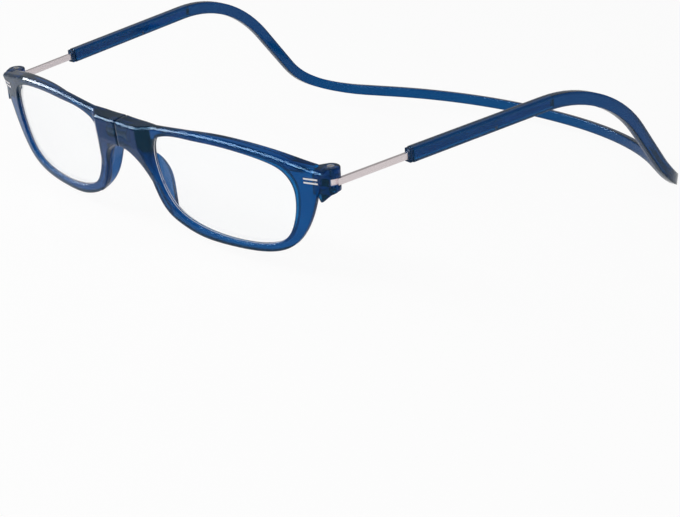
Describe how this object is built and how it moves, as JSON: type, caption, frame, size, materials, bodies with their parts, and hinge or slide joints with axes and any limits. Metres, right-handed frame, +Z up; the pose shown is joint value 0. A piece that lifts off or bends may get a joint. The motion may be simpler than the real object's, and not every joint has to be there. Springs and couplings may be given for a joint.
{
  "type": "magnetic bridge reading glasses",
  "caption": "Reading glasses that part at a magnetic bridge: two hinged half fronts, sliding flat metal temple rods and a one-piece curved headband",
  "frame": {"origin": "middle of the bounding box in X and Y, on the table plane that the rims and the headband rest on", "axes": "+X is the wearer's left, the front faces -Y, the headband closes at +Y, +Z is up"},
  "size_m": [0.1696, 0.2114, 0.0408],
  "materials": {
    "blue_band": "glossy translucent blue plastic",
    "blue_acetate": "polished translucent blue plastic",
    "clear_lens": "clear polished lens",
    "dark_magnet": "plated magnet, dark nickel",
    "silver_trim": "polished silver metal",
    "silver_screw": "bright steel",
    "brass_insert": "plain turned brass",
    "silver_rod": "satin silver metal, slightly warm",
    "navy_collar": "glossy navy plastic",
    "dark_pin": "dark steel"
  },
  "bodies": {
    "headband": {"headband": "blue_band", "left_rod_collar": "navy_collar", "left_stop_pin": "dark_pin", "right_rod_collar": "navy_collar", "right_stop_pin": "dark_pin"},
    "left_rod": {"left_temple_rod": "silver_rod"},
    "right_rod": {"right_temple_rod": "silver_rod"},
    "left_front": {"left_front_frame": "blue_acetate", "left_lens": "clear_lens", "left_bridge_magnet": "dark_magnet", "left_trim_bars": "silver_trim", "left_hinge_screw": "silver_screw", "left_hinge_insert": "brass_insert"},
    "right_front": {"right_front_frame": "blue_acetate", "right_lens": "clear_lens", "right_bridge_magnet": "dark_magnet", "right_trim_bars": "silver_trim", "right_hinge_screw": "silver_screw", "right_hinge_insert": "brass_insert"}
  },
  "joints": [
    {"name": "left_rod_slide", "type": "slide", "parent": "headband", "child": "left_rod", "axis": [0.1063, 0.982, 0.1564], "range_m": [0, 0.02]},
    {"name": "right_rod_slide", "type": "slide", "parent": "headband", "child": "right_rod", "axis": [-0.1063, 0.982, 0.1564], "range_m": [0, 0.02]},
    {"name": "left_front_hinge", "type": "hinge", "parent": "left_rod", "child": "left_front", "pos_m": [0.06866, -0.08867, 0.02973], "axis": [0, -0.1573, 0.9876], "range_deg": [0, 45]},
    {"name": "right_front_hinge", "type": "hinge", "parent": "right_rod", "child": "right_front", "pos_m": [-0.06866, -0.08867, 0.02973], "axis": [0, 0.1573, -0.9876], "range_deg": [0, 45]}
  ]
}
